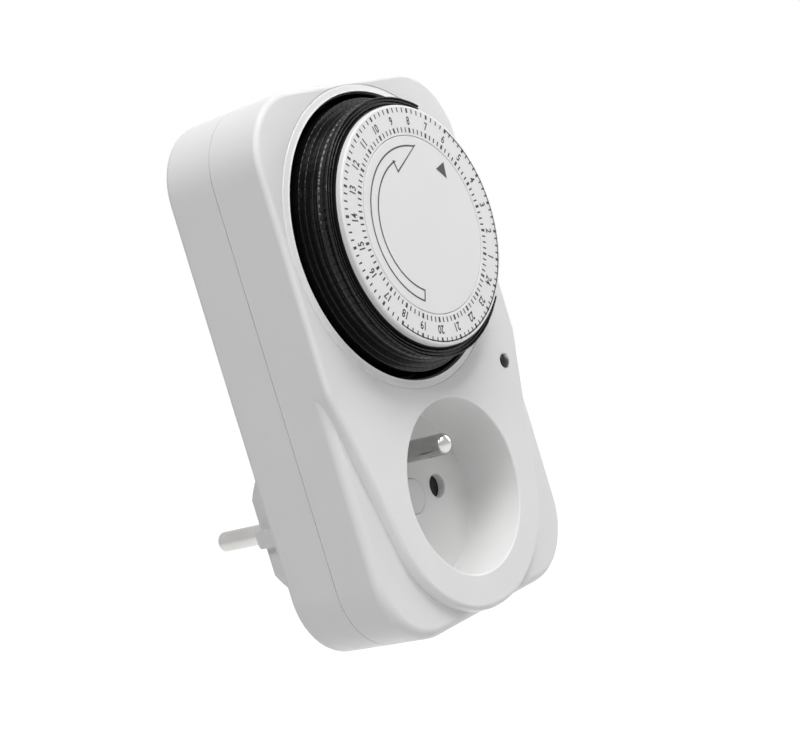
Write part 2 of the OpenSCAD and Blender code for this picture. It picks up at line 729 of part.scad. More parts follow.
// Closed tube of n sides swept along a line of points
module tube(pts, r, n) {
    last = len(pts) - 1;
    function dir(k) = let (d = pts[min(k + 1, last)] - pts[max(k - 1, 0)]) d / norm(d);
    function side(k) = let (c = cross([0.02, 0.03, 1], dir(k))) c / norm(c);
    ring = [for (k = [0:last]) let (u = side(k), v = cross(dir(k), u)) for (j = [0:n - 1])
        pts[k] + r * (cos(360 * j / n) * u + sin(360 * j / n) * v)];
    faces = concat([for (k = [0:last - 1], j = [0:n - 1]) let (a = k * n + j, b = k * n + (j + 1) % n)
        each [[a, a + n, b], [b, a + n, b + n]]],
        [for (j = [1:n - 2]) [0, j, j + 1]],
        [for (j = [1:n - 2]) [last * n, last * n + j + 1, last * n + j]]);
    polyhedron(ring, faces);
}

// Least gap of the spring to itself: between rings at least half a turn apart
spring_gap = min([for (a = [0:spring_rings - 5], b = [a + 5:spring_rings]) norm(SPRING[a] - SPRING[b])])
    - 2 * spring_wire_r;
echo(spring_gap = spring_gap);

module shutter_spring() color([0.7, 0.7, 0.72]) tube(SPRING, spring_wire_r, 6);

// Split sleeve that grips a pin, with an end wall
module contact_sleeve(x) {
    difference() {
        rod(y_carrier + 0.3, y_sleeve_end, sleeve_r, [x, 0]);
        rod(y_carrier - 1, y_sleeve_end - 1, sleeve_bore, [x, 0]);
        block([x - 0.4, y_carrier - 1, sleeve_bore - 1], [x + 0.4, y_sleeve_end - 3, sleeve_r + 1]);
    }
}

module contact_live() color([0.82, 0.68, 0.35]) {
    contact_sleeve(-pin_x);
    // Tab for the switched wire
    block([-pin_x - 4.4, y_carrier - 0.5, 2], [-pin_x - 3.4, y_carrier + 3, 5]);
    block([-pin_x - 4.4, y_carrier + 0.5, 1], [-pin_x - 2.9, y_carrier + 2, 3]);
}

module contact_neutral() color([0.82, 0.68, 0.35]) difference() {
    union() {
        contact_sleeve(pin_x);
        rod(y_sleeve_end - eps, y_sleeve_end + 3, 2.6, [pin_x, 0]);
    }
    rod(y_sleeve_end + 0.5, y_sleeve_end + 4, 1.5 + seat_gap, [pin_x, 0]);
}

carrier_x = plug_flat_w / 2 - plug_wall - 0.1;

module contact_carrier() color([0.85, 0.84, 0.8]) difference() {
    union() {
        translate([0, 0, -5.4])
            block([-carrier_x, y_rear_inner - 0.3, 0], [carrier_x, y_sleeve_end - 0.5, 10.8]);
        block([-17.5, y_rear_inner - 1.2, -5.4], [17.5, y_rear_inner, 5.4]);
    }
    for (s = [-1, 1]) rod(y_carrier - 1, 0, sleeve_r + 0.1, [s * pin_x, 0]);
    block([-pin_x - 5, y_carrier - 1, 0], [-pin_x - 2, y_carrier + 3.4, 6]);
    rod(y_carrier - 1, 0, earth_sleeve_r + 0.2, [0, earth_offset]);
}

// Round plug pin with a domed tip, a flange behind the face and a root
module plug_pin(x, y_root) {
    rod(0, pin_len - 1.2, pin_r, [x, 0]);
    rod(-plug_face_t - eps, eps, pin_neck_r, [x, 0]);
    translate([x, pin_len - 1.2 - eps, 0]) rotate([-90, 0, 0])
        rotate_extrude() polygon([[0, 0], [pin_r, 0], [pin_r * 0.93, 0.5], [pin_r * 0.74, 0.9],
            [pin_r * 0.45, 1.2 + eps], [0, 1.2 + eps]]);
    rod(-plug_face_t - 1.2, -plug_face_t, 3.6, [x, 0]);
    rod(y_root, -plug_face_t - 1, 1.5, [x, 0]);
}

module plug_pin_live() color([0.82, 0.82, 0.84]) plug_pin(-pin_x, y_live_root);
module plug_pin_neutral() color([0.82, 0.82, 0.84]) plug_pin(pin_x, y_sleeve_end + 0.5);

module earth_pin() color([0.8, 0.8, 0.82]) {
    y_tip = y_floor - earth_pin_len;
    p = [0, earth_offset];
    rod(y_tip + 1.6, y_floor, pin_r, p);
    rod(y_floor - eps, y_floor_back + eps, pin_neck_r, p);
    translate([0, y_tip + 1.6 + eps, earth_offset]) rotate([90, 0, 0])
        rotate_extrude() polygon([[0, 0], [pin_r, 0], [pin_r * 0.95, 0.55], [pin_r * 0.78, 1.05],
            [pin_r * 0.48, 1.45], [pin_r * 0.15, 1.6], [0, 1.6]]);
    rod(y_floor_back, y_floor_back + 1, 3.8, p);
    rod(y_floor_back + 1 - eps, y_strap + strap_t, 1.6, p);
}

module earth_strap() color([0.82, 0.68, 0.35]) difference() {
    union() {
        block([-clip_w / 2, y_strap, -clip_z], [clip_w / 2, y_strap + strap_t, clip_z]);
        for (z = [-clip_z, clip_z])
            block([-clip_w / 2, y_strap, z - strap_t / 2], [clip_w / 2, -1.5, z + strap_t / 2]);
    }
    rod(y_strap - 1, y_strap + 2, 1.6 + seat_gap, [0, earth_offset]);
}

module earth_sleeve() color([0.82, 0.68, 0.35]) difference() {
    ring_rod(y_strap + strap_t, -plug_face_t, earth_sleeve_r, [0, earth_offset], pin_r + 0.1);
    // Wide mouth that leads the pin in
    rod(-plug_face_t - 4, 0, earth_hole_r + 0.3, [0, earth_offset]);
}

module floor_cap() color([0.92, 0.92, 0.91]) rod(y_floor, y_floor + 1.2, cap_r, [0, 0]);

module indicator_lens() color([0.12, 0.1, 0.1]) {
    rod(y_front, y_front + 4.4, led_r, LED);
    translate([LED[0], y_front + eps, LED[1]]) rotate([90, 0, 0])
        rotate_extrude() polygon([[0, 0], [led_r, 0], [led_r * 0.8, 0.3], [led_r * 0.4, 0.45], [0, 0.5]]);
}

module indicator_board() color([0.3, 0.45, 0.25]) {
    y0 = y_board;
    block([LED[0] - 4, y0, LED[1] - 6], [LED[0] + 3, y0 + 1.2, LED[1] + 6]);
    rod(y_front + 4.4, y0 + eps, 1.2, LED);
    translate([LED[0] - 1, y0 + 2.3, LED[1] - 4]) cylinder(h = 7, r = 1.15);
}

// Insulated wires: live contact to switch, switch to indicator, live pin to switch, switch to motor,
// neutral contact to motor, neutral contact to indicator
wire_r = 0.6;
x_tab = -pin_x - 3.9;
y_end = sw_z0 - 0.05;
x_side = pin_x + sleeve_r + 0.05;
WIRES = [
    [[x_tab, y_carrier + 0.6, 5.05], [x_tab, y_carrier + 0.4, 9], [-12, y_carrier - 0.4, 16],
     [-5, y_carrier - 0.4, 24], [6, y_carrier + 0.5, 30], [14, y_carrier, 42],
     [nose[0] - 1, y_sw + 3, y_end - 5], [nose[0] - 1, y_sw + 3, y_end]],
    [[nose[0] + 1.5, y_sw + 4.5, y_end], [nose[0] + 1.5, y_sw + 4.5, y_end - 5], [27, y_sw + 2, 46],
     [28, y_sw - 1, 38], [LED[0] - 1, y_board + 4.8, LED[1] + 9], [LED[0] - 2, y_board + 3.4, LED[1] + 5],
     [LED[0] - 2, y_board + 1.25, LED[1] + 5]],
    [[-pin_x, y_live_root - 0.05, 0], [-pin_x, y_live_root - 1.3, 0], [-pin_x, -11.4, 3.2],
     [-9, -12.6, 7.6], [-8.5, -16, 8.5], [-8.5, -24, 8.5],
     [-7.6, y_carrier + 1.1, 12.5], [-3.4, y_carrier + 1.3, 21.6], [7, y_carrier + 1.7, 28.2],
     [15.6, y_carrier + 1.4, 41], [nose[0] - 1, y_sw + 5.3, y_end - 6], [nose[0] - 1, y_sw + 5.3, y_end]],
    [[nose[0], y_sw + 3.5, sw_z1 + 0.05], [nose[0], y_sw + 3.5, sw_z1 + 2.2], [16.5, y_sw + 4, sw_z1 + 3.6],
     [9, y_sw + 4, sw_z1], [M[0] + motor_r + 3, y_sw + 4, M[1] + 1],
     [M[0] + motor_r + 0.12, y_sw + 4, M[1] + 1]],
    [[x_side, y_carrier + 0.6, 0.8], [pin_x + 6, y_carrier + 0.6, 2.6], [12.6, y_carrier - 0.6, 15],
     [6.5, y_motor + 2.3, 22], [0.5, y_motor + 2.3, 33], [-6, y_motor + 2.5, 47],
     [M[0] + 5.5, y_motor + 2.8, M[1] - motor_r - 1.3], [M[0] + 5.5, y_motor + 2.8, M[1] - motor_r + 0.7]],
    [[x_side, y_carrier + 0.6, -0.8], [pin_x + 7.5, y_carrier + 0.6, -0.8], [19.5, y_carrier - 1.3, 2],
     [socket_r + 2.9, y_floor_back - 1.1, 8], [24, y_board + 4.7, 14],
     [LED[0] - 3.2, y_board + 3.2, LED[1] - 4],
     [LED[0] - 3.2, y_board + 1.25, LED[1] - 4]]];

module wiring() color([0.15, 0.3, 0.6]) for (w = WIRES) tube(w, wire_r, 8);

// Steel screws: four through the rear cover and three through the gear plate
module screws() color([0.6, 0.6, 0.62]) {
    for (p = SCREWS) {
        rod(y_wing + wall + 1.5, y_back - head_sink + eps, screw_r, p);
        difference() {
            rod(y_back - head_sink, y_back - head_sink + screw_head_h, screw_head_r, p);
            translate([p[0], 0, p[1]]) for (a = [0, 90]) rotate([0, a, 0])
                block([-1.5, y_back - head_sink + 0.8, -0.3], [1.5, y_back, 0.3]);
        }
    }
    for (p = POSTS) {
        rod(y_well_back + 0.5, y_motor + eps, 0.7, p);
        rod(y_motor, y_motor + 0.9, 1.6, p);
    }
}

front_cover();
rear_cover();
dial_well();
hour_ring();
programme_wheel();
centre_disc();
dial_arbor();
drive_gear_3();
drive_gear_2();
motor_pinion();
gear_axles();
gear_plate();
motor_case();
motor_coil();
motor_rotor();
switch_body();
switch_button();
switch_lever();
lever_pin();
override_slider();
shutter();
shutter_guide();
shutter_spring();
contact_live();
contact_neutral();
contact_carrier();
plug_pin_live();
plug_pin_neutral();
earth_pin();
earth_strap();
earth_sleeve();
floor_cap();
indicator_lens();
indicator_board();
wiring();
screws();
for (h = [0:23]) tappets_of(h);
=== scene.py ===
import json
import math

import bmesh
import bpy
import numpy as np
from mathutils import Matrix, Vector


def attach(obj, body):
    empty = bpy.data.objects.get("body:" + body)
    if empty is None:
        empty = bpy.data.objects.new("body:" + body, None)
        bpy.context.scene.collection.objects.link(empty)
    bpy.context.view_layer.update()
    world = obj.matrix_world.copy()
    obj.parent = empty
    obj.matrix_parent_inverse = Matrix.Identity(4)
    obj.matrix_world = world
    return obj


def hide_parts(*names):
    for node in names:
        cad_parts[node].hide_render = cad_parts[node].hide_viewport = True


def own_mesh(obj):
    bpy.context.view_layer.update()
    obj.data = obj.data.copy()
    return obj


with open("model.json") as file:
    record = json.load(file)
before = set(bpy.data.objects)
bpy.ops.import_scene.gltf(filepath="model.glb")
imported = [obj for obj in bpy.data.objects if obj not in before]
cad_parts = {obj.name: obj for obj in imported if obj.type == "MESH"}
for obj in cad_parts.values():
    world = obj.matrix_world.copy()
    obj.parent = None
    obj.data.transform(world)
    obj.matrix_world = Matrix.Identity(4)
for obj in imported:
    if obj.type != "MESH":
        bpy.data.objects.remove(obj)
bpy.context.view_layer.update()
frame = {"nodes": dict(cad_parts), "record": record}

MM = 0.001

# Sizes of the CAD source, in millimetres
HALF_W, Z_TOP, Z_LOW = 35.6, 92.2, -27.8
R_TOP, R_LOW = 16.0, 16.0
Y_BACK, Y_PART, Y_FRONT, Y_WING = -20.4, -34.0, -47.9, -45.7
GAP = 0.14
WALL = 2.0
ISLAND_R, ISLAND_A = 27.6, math.radians(14)
EDGE_R, ISLAND_EDGE, BACK_R = 2.2, 1.3, 1.5
Z_DIAL = 57.2
Y_DIAL = -57.6
OPENING_R = 32.4
Y_FLOOR, Y_FLOOR_BACK = -32.9, -30.9
SOCKET_R = 19.7
PIN_X, EARTH_Z = 9.5, 10.0
HOUR_ZERO = -42.8
RING_R = 26.7
SCREWS = [(-27.7, 84.3), (27.7, 84.3), (-25.7, -17.7), (25.7, -17.7)]
LED = (27.9, 22.5)
POST_R, WELL_R = 3.5, 21.3          # screw posts, outside of the socket well
PLUG_R, PLUG_FLAT, RIB_HALF = 18.6, 16.3, 2.15
SLIDER_Z, SLIDER_Y = 64.0, (Y_PART + Y_BACK) / 2 - 0.6
PIN_R, PIN_TIP = 2.4, 19.0
HOUR, QUARTER = 15.0, 3.75          # degrees on the dial
PRESS = 2.5                         # way of a tappet that is pushed in
AHEAD = -50.0                       # a depth in front of the cover, for cuts


# ---------------------------------------------------------------- materials

def tree_of(name):
    mat = bpy.data.materials.new(name)
    mat.use_nodes = True
    nt = mat.node_tree
    return mat, nt, nt.nodes["Principled BSDF"]


def noise(nt, scale, detail=3.0, rough=0.55, stretch=None):
    tc = nt.nodes.new("ShaderNodeTexCoord")
    n = nt.nodes.new("ShaderNodeTexNoise")
    n.inputs["Scale"].default_value = scale
    n.inputs["Detail"].default_value = detail
    n.inputs["Roughness"].default_value = rough
    if stretch:
        m = nt.nodes.new("ShaderNodeMapping")
        m.inputs["Scale"].default_value = stretch
        nt.links.new(tc.outputs["Object"], m.inputs["Vector"])
        nt.links.new(m.outputs["Vector"], n.inputs["Vector"])
    else:
        nt.links.new(tc.outputs["Object"], n.inputs["Vector"])
    return n.outputs["Fac"]


def ramp(nt, fac, low, high, a=0.35, b=0.65):
    r = nt.nodes.new("ShaderNodeValToRGB")
    r.color_ramp.elements[0].position = a
    r.color_ramp.elements[1].position = b
    r.color_ramp.elements[0].color = (*low, 1)
    r.color_ramp.elements[1].color = (*high, 1)
    nt.links.new(fac, r.inputs["Fac"])
    return r.outputs["Color"]


def span(nt, fac, low, high):
    m = nt.nodes.new("ShaderNodeMapRange")
    m.inputs["From Min"].default_value = 0.3
    m.inputs["From Max"].default_value = 0.7
    m.inputs["To Min"].default_value = low
    m.inputs["To Max"].default_value = high
    nt.links.new(fac, m.inputs["Value"])
    return m.outputs["Result"]


def bump(nt, fac, bsdf, distance, strength=0.5):
    b = nt.nodes.new("ShaderNodeBump")
    b.inputs["Distance"].default_value = distance
    b.inputs["Strength"].default_value = strength
    nt.links.new(fac, b.inputs["Height"])
    nt.links.new(b.outputs["Normal"], bsdf.inputs["Normal"])


def plastic(name, color, rough=0.35, vary=0.02, grain=1600.0, depth=6e-6, spread=0.06, shine=0.25):
    """Moulded plastic: slight colour drift, uneven gloss and the fine texture of the mould."""
    mat, nt, b = tree_of(name)
    c = np.array(color)
    low, high = tuple(c * (1 - vary)), tuple(np.minimum(c * (1 + vary), 1))
    nt.links.new(ramp(nt, noise(nt, 60.0), low, high), b.inputs["Base Color"])
    nt.links.new(span(nt, noise(nt, 260.0, 4), rough - spread, rough + spread), b.inputs["Roughness"])
    b.inputs["IOR"].default_value = 1.49
    b.inputs["Specular IOR Level"].default_value = shine
    bump(nt, noise(nt, grain, 2, 0.6), b, depth)
    return mat


def metal(name, color, rough=0.25, stretch=(1, 1, 1), grain=900.0, depth=4e-6, spread=0.06):
    """Metal with fine drawing or plating marks."""
    mat, nt, b = tree_of(name)
    c = np.array(color)
    low, high = tuple(c * 0.93), tuple(np.minimum(c * 1.05, 1))
    nt.links.new(ramp(nt, noise(nt, 120.0, 4), low, high), b.inputs["Base Color"])
    b.inputs["Metallic"].default_value = 1.0
    gloss = span(nt, noise(nt, grain, 3, 0.6, stretch), rough - spread, rough + spread)
    nt.links.new(gloss, b.inputs["Roughness"])
    bump(nt, noise(nt, grain, 2, 0.5, stretch), b, depth, 0.35)
    return mat


M = {
    "housing_white": plastic("shell_white", (0.80, 0.80, 0.797), 0.42, 0.008, 2200.0, 4e-6),
    "dial_white": plastic("dial_white", (0.80, 0.80, 0.797), 0.40, 0.006, 2600.0, 3e-6),
    "liner_black": plastic("liner_black", (0.004, 0.004, 0.0045), 0.42, 0.15, 1400.0, 8e-6),
    "wheel_black": plastic("wheel_black", (0.006, 0.006, 0.0065), 0.45, 0.15, 1400.0, 8e-6),
    "tappet_black": plastic("tappet_black", (0.005, 0.0052, 0.0055), 0.2, 0.2, 900.0, 1.2e-5,
                            spread=0.05, shine=0.28),
    "steel": metal("steel", (0.55, 0.55, 0.56), 0.30),
    "zinc_steel": metal("zinc_steel", (0.50, 0.51, 0.53), 0.38, (1, 1, 1), 300.0, 1e-5),
    "gear_plastic": plastic("gear_natural", (0.62, 0.58, 0.47), 0.45, 0.04),
    "brass": metal("brass", (0.62, 0.46, 0.18), 0.28),
    "copper": metal("copper_winding", (0.55, 0.22, 0.09), 0.35, (1, 40, 1), 700.0, 2e-5),
    "ferrite": plastic("ferrite", (0.035, 0.035, 0.038), 0.6, 0.2, 1200.0, 1.5e-5),
    "switch_black": plastic("switch_black", (0.02, 0.02, 0.021), 0.4, 0.12, 1500.0, 8e-6),
    "button_red": plastic("button_red", (0.45, 0.03, 0.02), 0.35, 0.06),
    "lever_white": plastic("lever_natural", (0.60, 0.59, 0.55), 0.45, 0.04),
    "shutter_grey": plastic("shutter_grey", (0.03, 0.03, 0.032), 0.5, 0.12, 1500.0, 8e-6),
    "nickel": metal("nickel", (0.47, 0.465, 0.455), 0.2, (1, 0.05, 1), 2600.0, 2e-6, 0.05),
    "lens_dark": plastic("lens_dark", (0.024, 0.022, 0.022), 0.3, 0.1, 400.0, 2e-6, spread=0.03, shine=0.2),
    "board_green": plastic("board_green", (0.03, 0.11, 0.045), 0.4, 0.1, 700.0, 1e-5),
    "insulation_blue": plastic("insulation_blue", (0.02, 0.06, 0.3), 0.42, 0.06, 900.0, 8e-6),
    "print_black": plastic("print_black", (0.035, 0.035, 0.036), 0.5, 0.15, 2600.0, 2e-6),
    "print_grey": plastic("print_grey", (0.065, 0.065, 0.066), 0.5, 0.12, 2600.0, 2e-6),
}


# ---------------------------------------------------------------- mesh helpers

def shade(me, angle=30.0):
    me.shade_smooth()
    me.set_sharp_from_angle(angle=math.radians(angle))


def weighted(obj):
    m = obj.modifiers.new("weighted", "WEIGHTED_NORMAL")
    m.keep_sharp = True
    m.weight = 80


def add(name, me, slot, body, node=None, angle=30.0, mat=None):
    obj = bpy.data.objects.new(name, me)
    bpy.context.scene.collection.objects.link(obj)
    me.materials.clear()
    me.materials.append(mat or M[slot])
    shade(me, angle)
    weighted(obj)
    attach(obj, body)
    if node:
        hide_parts(*([node] if isinstance(node, str) else node))
    return obj


def mesh_of(verts, faces, recalc=True):
    me = bpy.data.meshes.new("m")
    me.from_pydata((np.asarray(verts, float) * MM).tolist(), [], [tuple(int(i) for i in f) for f in faces])
    if recalc:
        bm = bmesh.new()
        bm.from_mesh(me)
        bmesh.ops.recalc_face_normals(bm, faces=bm.faces)
        bm.to_mesh(me)
        bm.free()
    return me


def joined(parts):
    """Several (verts, faces) as one."""
    V, F, n = [], [], 0
    for v, f in parts:
        V.append(np.asarray(v, float))
        F += [tuple(i + n for i in g) for g in f]
        n += len(v)
    return np.vstack(V), F


def loft(sections):
    """Closed solid through rings of equal length; each ring is an (n, 3) array."""
    n = len(sections[0])
    F = []
    for k in range(len(sections) - 1):
        for i in range(n):
            j = (i + 1) % n
            F.append((k * n + i, k * n + j, (k + 1) * n + j, (k + 1) * n + i))
    F.append(tuple(range(n)))
    F.append(tuple(range((len(sections) - 1) * n, len(sections) * n))[::-1])
    return np.vstack(sections), F


def lathe(profile, x=0.0, z=0.0, n=96, closed=False):
    """Solid of revolution about a line along Y through (x, z).

    profile is a list of (radius, y), and closed joins its last point to its first.
    """
    th = np.linspace(0, 2 * math.pi, n, endpoint=False)
    V, idx = [], []
    for r, y in profile:
        if r < 1e-9:
            idx.append([len(V)])
            V.append((x, y, z))
        else:
            idx.append(list(range(len(V), len(V) + n)))
            V += [(x + r * math.cos(t), y, z + r * math.sin(t)) for t in th]
    F = []
    pairs = list(zip(idx, idx[1:])) + ([(idx[-1], idx[0])] if closed else [])
    for a, b in pairs:
        for i in range(n):
            j = (i + 1) % n
            if len(a) == 1 and len(b) == 1:
                continue
            if len(a) == 1:
                F.append((a[0], b[i], b[j]))
            elif len(b) == 1:
                F.append((a[i], b[0], a[j]))
            else:
                F.append((a[i], b[i], b[j], a[j]))
    return np.array(V), F


def bar(y0, y1, r, x=0.0, z=0.0, n=64):
    return lathe([(0, y0), (r, y0), (r, y1), (0, y1)], x, z, n)


def brick(a, b):
    (x0, y0, z0), (x1, y1, z1) = a, b
    V = [(x, y, z) for x in (x0, x1) for y in (y0, y1) for z in (z0, z1)]
    F = [(0, 1, 3, 2), (4, 6, 7, 5), (0, 4, 5, 1), (2, 3, 7, 6), (0, 2, 6, 4), (1, 5, 7, 3)]
    return np.array(V, float), F


def boolean(me, parts, op):
    """me cut by, or joined with, closed parts."""
    a = bpy.data.objects.new("a", me)
    b = bpy.data.objects.new("b", mesh_of(*joined(parts)))
    for o in (a, b):
        bpy.context.scene.collection.objects.link(o)
    m = a.modifiers.new("b", "BOOLEAN")
    m.operation = op
    m.solver = "EXACT"
    m.object = b
    deps = bpy.context.evaluated_depsgraph_get()
    out = bpy.data.meshes.new_from_object(a.evaluated_get(deps))
    for o in (a, b):
        bpy.data.objects.remove(o)
    return out


def cut(me, *parts):
    return boolean(me, list(parts), "DIFFERENCE")


def united(me, *parts):
    return boolean(me, list(parts), "UNION")


def inside_body(x, z):
    """Distance inside the housing's outline."""
    zc, h = (Z_TOP + Z_LOW) / 2, (Z_TOP - Z_LOW) / 2
    r = np.where(z > zc, R_TOP, R_LOW)
    qx, qz = np.abs(x) - HALF_W + r, np.abs(z - zc) - h + r
    return -(np.minimum(np.maximum(qx, qz), 0) + np.hypot(np.maximum(qx, 0), np.maximum(qz, 0)) - r)


def inside_island(x, z):
    """Distance inside the raised island: round the socket, then widening towards the sides."""
    s, c = math.sin(ISLAND_A), math.cos(ISLAND_A)
    ax = np.abs(x)
    arc = ax * s + z * c < 0
    d = np.where(arc, ISLAND_R - np.hypot(x, z), ISLAND_R - (ax * c - z * s))
    return np.minimum(d, inside_body(x, z))


def inside_plug(x, z):
    """Distance inside the plug body: a circle with side flats and a guide rib on each."""
    flats = PLUG_FLAT - np.abs(x)
    rib = RIB_HALF - np.abs(z)
    return np.minimum(PLUG_R - np.hypot(x, z), np.maximum(flats, rib))


def ring(inside, inset, y, n=384, centre=(0.0, 25.0)):
    """Outline where inside() equals inset, as points at depth y."""
    t = np.linspace(0, 2 * math.pi, n, endpoint=False)
    cx, cz = centre
    lo, hi = np.zeros(n), np.full(n, 120.0)
    for _ in range(45):
        m = (lo + hi) / 2
        ok = inside(cx + m * np.cos(t), cz + m * np.sin(t)) > inset
        lo, hi = np.where(ok, m, lo), np.where(ok, hi, m)
    return np.column_stack([cx + lo * np.cos(t), np.full(n, y), cz + lo * np.sin(t)])


def rounded(inside, y_plane, y_base, e, side, start=0.0, steps=10):
    """Solid from y_base to y_plane whose edge at y_plane is rounded by e.

    side is -1 where the solid lies behind y_plane and 1 where it lies in front; start draws the outline in.
    """
    S = [ring(inside, start, y_base)]
    for k in range(steps + 1):
        a = math.pi / 2 * k / steps
        S.append(ring(inside, start + e * (1 - math.cos(a)), y_plane - side * e * (1 - math.sin(a))))
    return loft(S)


def prism(inside, inset, y0, y1):
    """Straight solid with the outline where inside() equals inset."""
    return loft([ring(inside, inset, y, 256) for y in (y0, y1)])


# ---------------------------------------------------------------- front cover

# Raised bead round the dial's opening and the fine line at its foot: radius, y
BEAD = [(32.2, -45.3), (32.2, -48.2), (32.3, -48.34), (32.45, -48.4), (32.6, -48.37), (32.72, -48.24),
        (33.85, -48.0), (33.95, -47.9), (33.98, -47.5), (33.98, -45.3)]
BEAD_FOOT = [(33.9, -48.6), (33.9, -47.82), (34.0, -47.76), (34.2, -47.78), (34.35, -47.92), (34.5, -48.6)]


def socket_well():
    """The room of the socket, with a rounded mouth and a small rounding at the floor."""
    foot, mouth = 0.15, 0.4
    r_mouth = SOCKET_R + mouth + 0.02
    p = [(0, AHEAD), (r_mouth, AHEAD), (r_mouth, Y_FRONT)]
    p += [(SOCKET_R + mouth * (1 - math.sin(a)), Y_FRONT + mouth * (1 - math.cos(a)))
          for a in np.radians([15, 30, 45, 60, 75, 90])]
    p += [(SOCKET_R - foot * (1 - math.cos(a)), Y_FLOOR - foot * (1 - math.sin(a)))
          for a in np.radians([0, 15, 30, 45, 60, 75, 90])]
    p += [(0, Y_FLOOR)]
    return lathe(p, 0, 0, 160)


def front_cover():
    y_edge = Y_PART - GAP
    me = mesh_of(*rounded(inside_body, Y_WING, y_edge, EDGE_R, -1, 0.03))
    me = united(me, rounded(inside_island, Y_FRONT, y_edge - 0.02, ISLAND_EDGE, -1, 0.0))
    me = united(me, lathe(BEAD, 0, Z_DIAL, 192, closed=True))
    me = cut(me, lathe(BEAD_FOOT, 0, Z_DIAL, 192, closed=True))
    me = cut(me, prism(inside_body, WALL, Y_WING + WALL, Y_PART + 1))
    me = cut(me, prism(inside_island, WALL, Y_FRONT + WALL, Y_WING + WALL + 0.05))
    me = cut(me, prism(inside_body, 0.5, Y_PART - 1.65, Y_PART + 1.7))      # room for the rear cover's lip
    posts = [bar(Y_FRONT + 1 if z > 0 else Y_WING + 1, Y_PART - GAP, POST_R, x, z, 32) for x, z in SCREWS]
    me = united(me, bar(Y_FRONT + 1, Y_FLOOR_BACK, WELL_R, 0, 0, 128), *posts)
    me = cut(me, socket_well(), bar(-52, -43.9, OPENING_R, 0, Z_DIAL, 160))
    contact = [(0, Y_FLOOR - 1), (2.88, Y_FLOOR - 1), (2.88, Y_FLOOR), (2.75, Y_FLOOR + 0.13),
               (2.75, Y_FLOOR_BACK + 1), (0, Y_FLOOR_BACK + 1)]
    cap = [(0, Y_FLOOR - 1), (4.22, Y_FLOOR - 1), (4.22, Y_FLOOR), (4.12, Y_FLOOR + 0.12),
           (4.12, Y_FLOOR + 1.2), (0, Y_FLOOR + 1.2)]
    led = [(0, AHEAD), (1.85, AHEAD), (1.85, Y_FRONT), (1.6, Y_FRONT + 0.2), (1.6, Y_FRONT + 4),
           (0, Y_FRONT + 4)]
    cuts = [lathe(contact, s * PIN_X, 0, 64) for s in (-1, 1)]
    cuts.append(lathe(cap, 0, 0, 72))
    cuts.append(bar(Y_FLOOR - 1, Y_FLOOR_BACK + 1, 2.25, 0, EARTH_Z, 48))
    cuts.append(lathe(led, LED[0], LED[1], 48))
    me = cut(me, *cuts)
    return add("front_cover_shell", me, "housing_white", "housing", "front_cover", 32)


# ---------------------------------------------------------------- rear cover

def plug_body():
    """Outside of the plug body, with a rounded face."""
    steps = ((0.0, Y_BACK - 1), (0.0, -0.9), (0.12, -0.5), (0.4, -0.15), (0.8, 0.0))
    return loft([ring(inside_plug, inset, y, 384, (0.0, 0.0)) for inset, y in steps])


def plug_hollow():
    """Room inside the plug body: a circle cut off at its sides, top and bottom."""
    n = 128
    t = np.linspace(0, 2 * math.pi, n, endpoint=False)
    x = np.clip(16.8 * np.cos(t), -14.5, 14.5)
    z = np.clip(16.8 * np.sin(t), -14.0, 14.0)
    return loft([np.column_stack([x, np.full(n, y), z]) for y in (Y_BACK - 3, -2.5)])


def rear_cover():
    me = mesh_of(*rounded(inside_body, Y_BACK, Y_PART, BACK_R, 1, 0.0))
    me = united(me, prism(inside_body, 0.6, Y_PART - 1.4, Y_PART + 1))
    me = cut(me, prism(inside_body, WALL, Y_PART - 3.3, Y_BACK - WALL))
    posts = [bar(Y_PART, Y_BACK - 1, POST_R, x, z, 32) for x, z in SCREWS]
    sy, sz = SLIDER_Y, SLIDER_Z
    x_wall = HALF_W - WALL
    rail = brick((x_wall - 3.4, sy + 3.8, sz - 14), (x_wall + 0.5, Y_BACK - WALL + 0.1, sz + 9))
    me = united(me, plug_body(), *posts, rail)
    hooks = [brick((x_wall - 3.4, sy + 1.6, z), (x_wall - 1.8, sy + 4, z + 3)) for z in (sz - 14, sz + 6)]
    me = united(me, *hooks)
    me = cut(me, plug_hollow())
    pin = [(0, -4), (2.45, -4), (2.45, 1), (0, 1)]
    earth = [(0, -4), (2.65, -4), (2.65, -0.3), (2.95, 0.0), (2.95, 1), (0, 1)]
    screw = [(0, -36), (1.6, -36), (1.6, Y_BACK - 2.0), (2.6, Y_BACK - 2.0), (2.6, Y_BACK - 0.2),
             (2.85, Y_BACK + 0.02), (2.85, Y_BACK + 1), (0, Y_BACK + 1)]
    cuts = []
    for s, (z0, z1) in ((-1, (-21.0, -15.6)), (1, (15.6, 21.0))):
        cuts.append(lathe(pin, s * PIN_X, 0, 64))
        cuts.append(brick((-3.3, -15, z0), (3.3, 2, z1)))                   # slots of the earth clips
    cuts.append(lathe(earth, 0, EARTH_Z, 64))
    cuts += [lathe(screw, x, z, 48) for x, z in SCREWS]
    cuts.append(brick((x_wall - 1, sy - 2.2, sz - 7.2), (HALF_W + 1.6, sy + 2.2, sz + 3.2)))
    me = cut(me, *cuts)
    me = cut(me, *[brick((-3.3, Y_BACK - 3, s * 17.2 - 0.7), (3.3, -14, s * 17.2 + 0.7)) for s in (-1, 1)])
    return add("rear_cover_shell", me, "housing_white", "housing", "rear_cover", 32)


# ---------------------------------------------------------------- dial

FACE_Y = Y_DIAL + 0.02      # white faces lie a little behind the print


